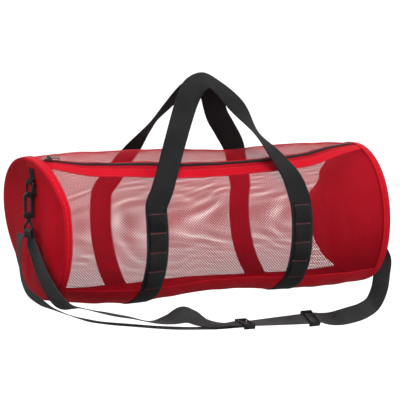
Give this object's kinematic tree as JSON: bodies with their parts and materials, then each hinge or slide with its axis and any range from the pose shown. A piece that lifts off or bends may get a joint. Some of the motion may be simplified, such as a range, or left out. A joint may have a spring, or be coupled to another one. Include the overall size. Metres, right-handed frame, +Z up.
{
  "type": "mesh dive gear duffel bag",
  "caption": "Round mesh duffel with solid end panels and base, zip top, webbing carry handles meeting at a grip, and a clip-on shoulder strap hanging below.",
  "frame": {"origin": "the grip, where the two handles meet above the bag and the bag hangs", "axes": "+X along the bag toward the slumped end, +Z up, -Y toward the near side with the zip's band"},
  "size_m": [0.8853, 0.3322, 0.5673],
  "materials": {
    "red_net": "matte knotted net",
    "red_cloth": "coated woven cloth, soft sheen",
    "zip_black": "matte zip tape and coil",
    "black_webbing": "ribbed webbing",
    "grey_webbing": "ribbed webbing, lighter face",
    "black_plastic": "moulded, satin",
    "grey_metal": "worn zip metal"
  },
  "bodies": {
    "bag": {"mesh_body": "red_net", "base_panel": "red_cloth", "rim_binding_left": "red_cloth", "rim_binding_right": "red_cloth", "end_panel_left": "red_cloth", "end_panel_right": "red_cloth", "zip_tape": "zip_black", "zip_chain": "zip_black", "zip_band_near": "red_cloth", "zip_slider": "grey_metal", "webbing_ring_left": "black_webbing", "webbing_ring_right": "black_webbing", "daisy_chain_left": "black_webbing", "daisy_chain_right": "black_webbing", "front_handle": "black_webbing", "back_handle": "black_webbing", "ring_tab_left": "black_webbing", "ring_tab_right": "black_webbing", "d_ring_left": "black_plastic", "d_ring_right": "black_plastic", "hook_left": "black_plastic", "hook_right": "black_plastic", "swivel_left": "black_plastic", "swivel_right": "black_plastic", "strap_outer_ply": "black_webbing", "strap_inner_ply": "black_webbing", "strap_middle": "grey_webbing", "strap_right": "black_webbing", "strap_slider_left": "black_plastic", "strap_slider_right": "black_plastic"},
    "pull": {"zip_pull": "grey_metal"},
    "left_gate": {"gate_left": "black_plastic"},
    "right_gate": {"gate_right": "black_plastic"}
  },
  "joints": [
    {"name": "zip_pull_flip", "type": "hinge", "parent": "bag", "child": "pull", "pos_m": [-0.37071, -0.04303, -0.16275], "axis": [-0.4276, -0.8664, -0.2579], "range_deg": [0, 130]},
    {"name": "left_gate_hinge", "type": "hinge", "parent": "bag", "child": "left_gate", "pos_m": [-0.41514, -0.02, -0.27645], "axis": [0, 1, 0], "range_deg": [0, 18], "stiffness_Nm_per_rad": 0.02},
    {"name": "right_gate_hinge", "type": "hinge", "parent": "bag", "child": "right_gate", "pos_m": [0.35191, 0, -0.27645], "axis": [0, -1, 0], "range_deg": [0, 18], "stiffness_Nm_per_rad": 0.02}
  ]
}
